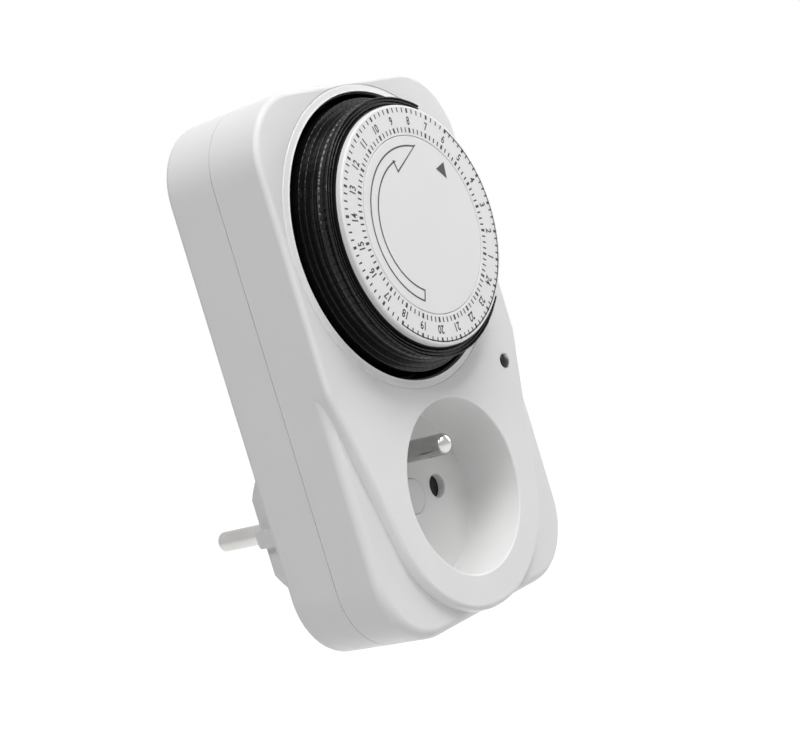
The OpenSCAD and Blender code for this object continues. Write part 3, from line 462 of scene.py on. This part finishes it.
def hour_ring():
    edge, depth = 0.5, 0.55
    p = [(19.87, Y_DIAL + 1.5), (19.87, Y_DIAL + 0.12), (19.97, FACE_Y), (RING_R - edge, FACE_Y)]
    p += [(RING_R - edge * (1 - math.sin(a)), FACE_Y + depth * (1 - math.cos(a)))
          for a in np.radians(range(10, 91, 10))]
    p += [(RING_R, Y_DIAL + 1.5)]
    me = mesh_of(*lathe(p, 0, Z_DIAL, 256, closed=True))
    return add("hour_ring_face", me, "dial_white", "programme_dial", "hour_ring", 40)


def centre_disc():
    p = [(0, FACE_Y), (19.64, FACE_Y), (19.74, Y_DIAL + 0.12), (19.74, Y_DIAL + 1.2), (5, Y_DIAL + 1.2),
         (5, Y_DIAL + 5.5), (2.55, Y_DIAL + 5.5), (2.55, Y_DIAL + 1.2), (0, Y_DIAL + 1.2)]
    me = mesh_of(*lathe(p, 0, Z_DIAL, 192))
    return add("centre_disc_face", me, "dial_white", "housing", "centre_disc", 40)


def polar(r, deg):
    a = math.radians(deg)
    return r * math.cos(a), r * math.sin(a)


def flat(polys, y):
    """Flat patches at depth y; each is a list of points relative to the dial's centre."""
    V, F = [], []
    for poly in polys:
        n = len(V)
        V += [(x, y, Z_DIAL + z) for x, z in poly]
        F.append(tuple(range(n, n + len(poly))))
    return np.array(V), F


def stroke(points, width, closed=False):
    """Quads along a polyline, mitred at its corners."""
    P = [np.array(p, float) for p in points]
    n = len(P)
    L, R = [], []
    for i in range(n):
        a = P[i - 1] if (i > 0 or closed) else None
        b = P[(i + 1) % n] if (i < n - 1 or closed) else None
        d1 = (P[i] - a) / np.linalg.norm(P[i] - a) if a is not None else None
        d2 = (b - P[i]) / np.linalg.norm(b - P[i]) if b is not None else None
        d1 = d2 if d1 is None else d1
        d2 = d1 if d2 is None else d2
        n1, n2 = np.array([-d1[1], d1[0]]), np.array([-d2[1], d2[0]])
        m = n1 + n2
        m = m / np.linalg.norm(m)
        k = width / 2 / max(0.35, float(m @ n1))
        L.append(P[i] + m * k)
        R.append(P[i] - m * k)
    out = []
    for i in range(n if closed else n - 1):
        j = (i + 1) % n
        out.append([tuple(R[i]), tuple(R[j]), tuple(L[j]), tuple(L[i])])
    return out


def arc(r, a0, a1, step=2.0):
    n = max(2, int(abs(a1 - a0) / step) + 1)
    return [polar(r, a0 + (a1 - a0) * k / (n - 1)) for k in range(n)]


def digits(text, height, squeeze=0.8):
    """The outline of a number as (verts, faces) in a flat frame, centred."""
    cu = bpy.data.curves.new("t", "FONT")
    cu.body = text
    cu.size = 1.0
    cu.resolution_u = 4
    cu.offset = 0.022
    ob = bpy.data.objects.new("t", cu)
    bpy.context.scene.collection.objects.link(ob)
    deps = bpy.context.evaluated_depsgraph_get()
    me = bpy.data.meshes.new_from_object(ob.evaluated_get(deps))
    V = np.array([v.co[:2] for v in me.vertices])
    F = [tuple(p.vertices) for p in me.polygons]
    bpy.data.objects.remove(ob)
    lo, hi = V.min(0), V.max(0)
    s = height / (hi[1] - lo[1])
    V = (V - (lo + hi) / 2) * s
    V[:, 0] *= squeeze
    return V, F


def dial_print():
    """Hour numbers, quarter-hour ticks on two circles and the arc that marks the night."""
    polys = []
    for i in range(96):
        a = HOUR_ZERO + QUARTER * i
        width = 0.6 if i % 4 == 0 else 0.34
        for r0, r1 in ((24.95, 26.0), (20.45, 21.6)):
            u = math.degrees(width / 2 / ((r0 + r1) / 2))
            polys.append([polar(r0, a - u), polar(r1, a - u), polar(r1, a + u), polar(r0, a + u)])
    dusk, dawn = HOUR_ZERO + HOUR * 18 - 360, HOUR_ZERO + HOUR * 6
    polys += stroke(arc(25.8, dusk - 0.6, dawn + 0.6, 1.25), 0.3)
    parts = [flat(polys, Y_DIAL)]
    for h in range(1, 25):
        v, f = digits(str(h), 1.95)
        a = math.radians(HOUR_ZERO + HOUR * h)
        up, right = np.array([math.cos(a), math.sin(a)]), np.array([math.sin(a), -math.cos(a)])
        p = 23.2 * up + np.outer(v[:, 0], right) + np.outer(v[:, 1], up)
        parts.append((np.column_stack([p[:, 0], np.full(len(p), Y_DIAL), Z_DIAL + p[:, 1]]), f))
    me = mesh_of(*joined(parts), recalc=False)
    face_front(me)
    return add("hour_print", me, "dial_white", "programme_dial", None, 30, M["print_black"])


def face_front(me):
    """Turns every face towards the front."""
    bm = bmesh.new()
    bm.from_mesh(me)
    for f in bm.faces:
        f.normal_update()
        if f.normal.y > 0:
            f.normal_flip()
    bm.to_mesh(me)
    bm.free()


def centre_print():
    """Direction arrow and the pointer that shows the time."""
    path = arc(17.5, -116, -286, 2.0)[:-1] + [polar(17.7, 74.2), polar(12.8, 106.3), polar(15.3, 105.6)]
    path += arc(15.1, -255.5, -116, 2.0)
    polys = stroke(path, 0.38, closed=True)
    polys.append([(12.92, 8.4), (13.48, 12.18), (10.06, 11.05)])
    me = mesh_of(*flat(polys, Y_DIAL), recalc=False)
    face_front(me)
    return add("arrow_print", me, "dial_white", "housing", None, 30, M["print_grey"])


# Outline of a tappet: radius, depth behind the dial's face, rounding of the corner
TAPPET = [(27.3, 1.9, 0.1), (27.72, 1.9, 0.12), (27.8, 2.5, 0), (28.05, 2.5, 0), (28.1, 2.0, 0.1),
          (28.42, 2.0, 0.12), (28.5, 2.7, 0), (28.72, 2.7, 0), (28.76, 2.0, 0.1), (29.1, 2.0, 0.13),
          (29.1, 2.45, 0.1), (28.4, 3.7, 0.2), (28.4, 4.55, 0.05), (28.75, 4.85, 0.3), (28.62, 5.45, 0.1),
          (28.62, 5.85, 0), (29.0, 5.9, 0.14), (29.0, 7.25, 0), (29.85, 7.3, 0.15), (29.85, 8.25, 0),
          (30.7, 8.3, 0.15), (30.7, 16.1, 0), (27.3, 16.1, 0)]


def softened(points, n=3):
    """The outline with its corners rounded."""
    P = [np.array(p[:2], float) for p in points]
    out = []
    for i, (r, y, e) in enumerate(points):
        a, b, c = P[i - 1], P[i], P[(i + 1) % len(P)]
        if not e:
            out.append(b)
            continue
        u, v = (a - b) / np.linalg.norm(a - b), (c - b) / np.linalg.norm(c - b)
        half = math.acos(max(-1, min(1, float(u @ v)))) / 2
        t = min(e / math.tan(half), 0.49 * np.linalg.norm(a - b), 0.49 * np.linalg.norm(c - b))
        p, q = b + u * t, b + v * t
        out += [(1 - k) ** 2 * p + 2 * k * (1 - k) * b + k * k * q for k in np.linspace(0, 1, n + 1)]
    return [tuple(o) for o in out]


def tappet_mesh():
    """One tappet, standing out, on the +X axis of the dial."""
    half = math.radians(QUARTER) / 2
    V = []
    P = softened(TAPPET)
    n = len(P)
    # Four outlines across the tappet: the outer two lie at its sides, and are smaller, for a worn edge
    for s, inset, shrink in ((-1, 0.035, 0.035), (-1, 0.09, 0.0), (1, 0.09, 0.0), (1, 0.035, 0.035)):
        for r, y in P:
            rr = r - shrink if r > 28.2 else r
            yy = y + shrink if y < 2.2 else y
            V.append((rr, yy, s * (r * math.tan(half) - inset)))
    F = [tuple(range(n)), tuple(range(4 * n - 1, 3 * n - 1, -1))]
    for k in range(3):
        F += [(k * n + i, (k + 1) * n + i, (k + 1) * n + (i + 1) % n, k * n + (i + 1) % n) for i in range(n)]
    foot = brick((24.0, 10.4, -0.45), (27.5, 12.0, 0.45))
    return joined([(np.array(V), F), foot])


def tappets():
    v0, f0 = tappet_mesh()
    r_turn = 29             # each tappet leans a little about this radius
    rng = np.random.default_rng(7)
    for h in range(24):
        off = 7 <= h <= 23
        parts = []
        for i in range(4 * h, 4 * h + 4):
            dr, dy, tilt = rng.uniform(-0.05, 0.0), rng.uniform(0.0, 0.07), rng.uniform(-0.5, 0.5)
            t = math.radians(tilt)
            x, y, z = v0[:, 0] + dr, v0[:, 1], v0[:, 2]
            x1 = (x - r_turn) * math.cos(t) - z * math.sin(t) + r_turn
            z1 = (x - r_turn) * math.sin(t) + z * math.cos(t)
            a = math.radians(HOUR_ZERO + QUARTER * (i + 0.5))
            c, s = math.cos(a), math.sin(a)
            depth = y + Y_DIAL + dy + (0 if off else PRESS)
            parts.append((np.column_stack([x1 * c - z1 * s, depth, x1 * s + z1 * c + Z_DIAL]), f0))
        me = mesh_of(*joined(parts), recalc=True)
        add("tappets_%02d_black" % h, me, "tappet_black", "tappets_%02d" % h, "tappets_hour_%02d" % h, 25)


# ---------------------------------------------------------------- pins and lens

def dome(r, length):
    """Quarter of an ellipse from the radius r to the axis, without its first point."""
    p = [(r * math.cos(a), length * math.sin(a)) for a in np.linspace(0, math.pi / 2, 10)]
    return p[1:]


def pins():
    neck, flange = 2.2, 3.6
    for name, x, root in (("live", -PIN_X, -8.5), ("neutral", PIN_X, -12.5)):
        p = [(0, root), (1.5, root), (1.5, -3.7), (flange, -3.7), (flange, -2.5), (neck, -2.5), (neck, 0.0),
             (PIN_R, 0.0), (PIN_R, PIN_TIP - 1.4)]
        p += [(r, PIN_TIP - 1.4 + y) for r, y in dome(PIN_R, 1.4)]
        p[-1] = (0, PIN_TIP)
        me = mesh_of(*lathe(p, x, 0, 72))
        add("plug_pin_%s_nickel" % name, me, "nickel", "housing", "plug_pin_%s" % name, 40)
    tip = Y_FLOOR - 14.0
    p = [(0, -26.95), (1.6, -26.95), (1.6, -29.9), (3.8, -29.9), (3.8, Y_FLOOR_BACK), (neck, Y_FLOOR_BACK),
         (neck, Y_FLOOR), (PIN_R, Y_FLOOR), (PIN_R, tip + 1.8)]
    p += [(r, tip + 1.8 - y) for r, y in dome(PIN_R, 1.8)]
    p[-1] = (0, tip)
    add("earth_pin_nickel", mesh_of(*lathe(p, 0, EARTH_Z, 72)), "nickel", "housing", "earth_pin", 40)


def lens():
    p = [(0, Y_FRONT + 4.4), (1.5, Y_FRONT + 4.4), (1.5, Y_FRONT + 0.1)]
    p += [(r, Y_FRONT + 0.1 - y) for r, y in dome(1.5, 0.55)]
    p[-1] = (0, Y_FRONT - 0.45)
    me = mesh_of(*lathe(p, LED[0], LED[1], 48))
    add("indicator_lens_dark", me, "lens_dark", "housing", "indicator_lens", 40)


def shutter_spring():
    """The wire spring under the shutter, carried by the housing."""
    obj = bpy.data.objects.new("shutter_spring_wire", frame["nodes"]["shutter_spring"].data.copy())
    bpy.context.scene.collection.objects.link(obj)
    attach(obj, "housing")
    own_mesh(obj)
    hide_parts("shutter_spring")


def carried_over():
    """CAD nodes whose shape is right keep it, with smooth faces and a procedural material."""
    slots = {s["node"]: s["material_slot"] for s in frame["record"]["subparts"]}
    for name, obj in frame["nodes"].items():
        obj.data.materials.clear()
        obj.data.materials.append(M[slots[name]])
        shade(obj.data, 28)
        weighted(obj)


carried_over()
front_cover()
rear_cover()
hour_ring()
centre_disc()
dial_print()
centre_print()
tappets()
pins()
lens()
shutter_spring()


# ---------------------------------------------------------------- camera, light and floor

CAMERA_AT = (-349.39, -313.61, 47.51)               # millimetres
CAMERA_TURN = (-51.913, 2.452, -16.836)             # azimuth, elevation and roll in degrees
CAMERA_LENS = 90.276


def camera():
    """The camera that was fitted to the photograph."""
    az, el, roll = (math.radians(v) for v in CAMERA_TURN)
    back = Vector((math.sin(az) * math.cos(el), -math.cos(az) * math.cos(el), math.sin(el)))
    right = (-back).cross(Vector((0, 0, 1))).normalized()
    up = right.cross(-back)
    c, s = math.cos(roll), math.sin(roll)
    r, u = c * right + s * up, -s * right + c * up
    cam = bpy.data.cameras.new("camera")
    cam.lens = CAMERA_LENS
    cam.sensor_width = 36.0
    cam.clip_start, cam.clip_end = 0.01, 50.0
    obj = bpy.data.objects.new("camera", cam)
    bpy.context.scene.collection.objects.link(obj)
    m = Matrix((r, u, back)).transposed().to_4x4()
    m.translation = Vector(CAMERA_AT) * MM
    obj.matrix_world = m
    bpy.context.scene.camera = obj


def area(name, place, target, size, power):
    """Round lamp at place, turned to target; metres and watts."""
    li = bpy.data.lights.new(name, "AREA")
    li.shape = "DISK"
    li.size = size
    li.energy = power
    o = bpy.data.objects.new(name, li)
    bpy.context.scene.collection.objects.link(o)
    o.location = place
    o.rotation_euler = (Vector(target) - Vector(place)).to_track_quat("-Z", "Y").to_euler()


def towards(az, el, d):
    """Point at the distance d from the part, az degrees to the right of the front and el degrees up."""
    a, e = math.radians(az), math.radians(el)
    return (d * math.sin(a) * math.cos(e), -d * math.cos(a) * math.cos(e), d * math.sin(e) + 0.03)


def lights():
    aim = (0, -0.03, 0.03)
    area("top", towards(0, 80, 1.2), aim, 0.9, 1.0)
    area("front_high", towards(0, 58, 1.4), aim, 0.7, 11.4)
    area("glint", towards(-28, 38, 1.3), aim, 0.12, 1.5)
    area("front_low", towards(0, 40, 1.4), aim, 0.8, 1.0)
    area("left", towards(-75, 40, 1.5), aim, 0.7, 7.7)
    area("right", towards(75, 15, 1.6), aim, 1.0, 9.8)
    world = bpy.data.worlds.new("studio")
    bpy.context.scene.world = world
    world.use_nodes = True
    nt = world.node_tree
    bg = nt.nodes["Background"]
    bg.inputs["Color"].default_value = (1, 1, 1, 1)
    bg.inputs["Strength"].default_value = 0.09
    seen = nt.nodes.new("ShaderNodeBackground")
    seen.inputs["Color"].default_value = (1, 1, 1, 1)
    seen.inputs["Strength"].default_value = 1.0
    mix = nt.nodes.new("ShaderNodeMixShader")
    nt.links.new(seen_directly(nt), mix.inputs["Fac"])
    nt.links.new(bg.outputs["Background"], mix.inputs[1])
    nt.links.new(seen.outputs["Background"], mix.inputs[2])
    nt.links.new(mix.outputs["Shader"], nt.nodes["World Output"].inputs["Surface"])


def seen_directly(nt):
    """1 for rays from the camera and those that metal or glass send on, else 0."""
    path = nt.nodes.new("ShaderNodeLightPath")
    out = path.outputs["Is Camera Ray"]
    for kind in ("Is Glossy Ray", "Is Transmission Ray"):
        top = nt.nodes.new("ShaderNodeMath")
        top.operation = "MAXIMUM"
        nt.links.new(out, top.inputs[0])
        nt.links.new(path.outputs[kind], top.inputs[1])
        out = top.outputs["Value"]
    return out


def floor():
    """Pale floor well below the part, as bright as the photograph's ground to the camera."""
    me = bpy.data.meshes.new("floor")
    s, z = 6.0, -0.34
    me.from_pydata([(-s, -s, z), (s, -s, z), (s, s, z), (-s, s, z)], [], [(0, 1, 2, 3)])
    obj = bpy.data.objects.new("floor", me)
    bpy.context.scene.collection.objects.link(obj)
    mat = bpy.data.materials.new("floor_pale")
    mat.use_nodes = True
    nt = mat.node_tree
    b = nt.nodes["Principled BSDF"]
    b.inputs["Base Color"].default_value = (0.8, 0.8, 0.8, 1)
    b.inputs["Roughness"].default_value = 0.9
    e = nt.nodes.new("ShaderNodeEmission")
    e.inputs["Color"].default_value = (0.95, 0.95, 0.95, 1)
    nt.links.new(seen_directly(nt), e.inputs["Strength"])
    both = nt.nodes.new("ShaderNodeAddShader")
    nt.links.new(b.outputs["BSDF"], both.inputs[0])
    nt.links.new(e.outputs["Emission"], both.inputs[1])
    nt.links.new(both.outputs["Shader"], nt.nodes["Material Output"].inputs["Surface"])
    me.materials.append(mat)


camera()
lights()
floor()
bpy.context.scene.view_settings.view_transform = "Standard"
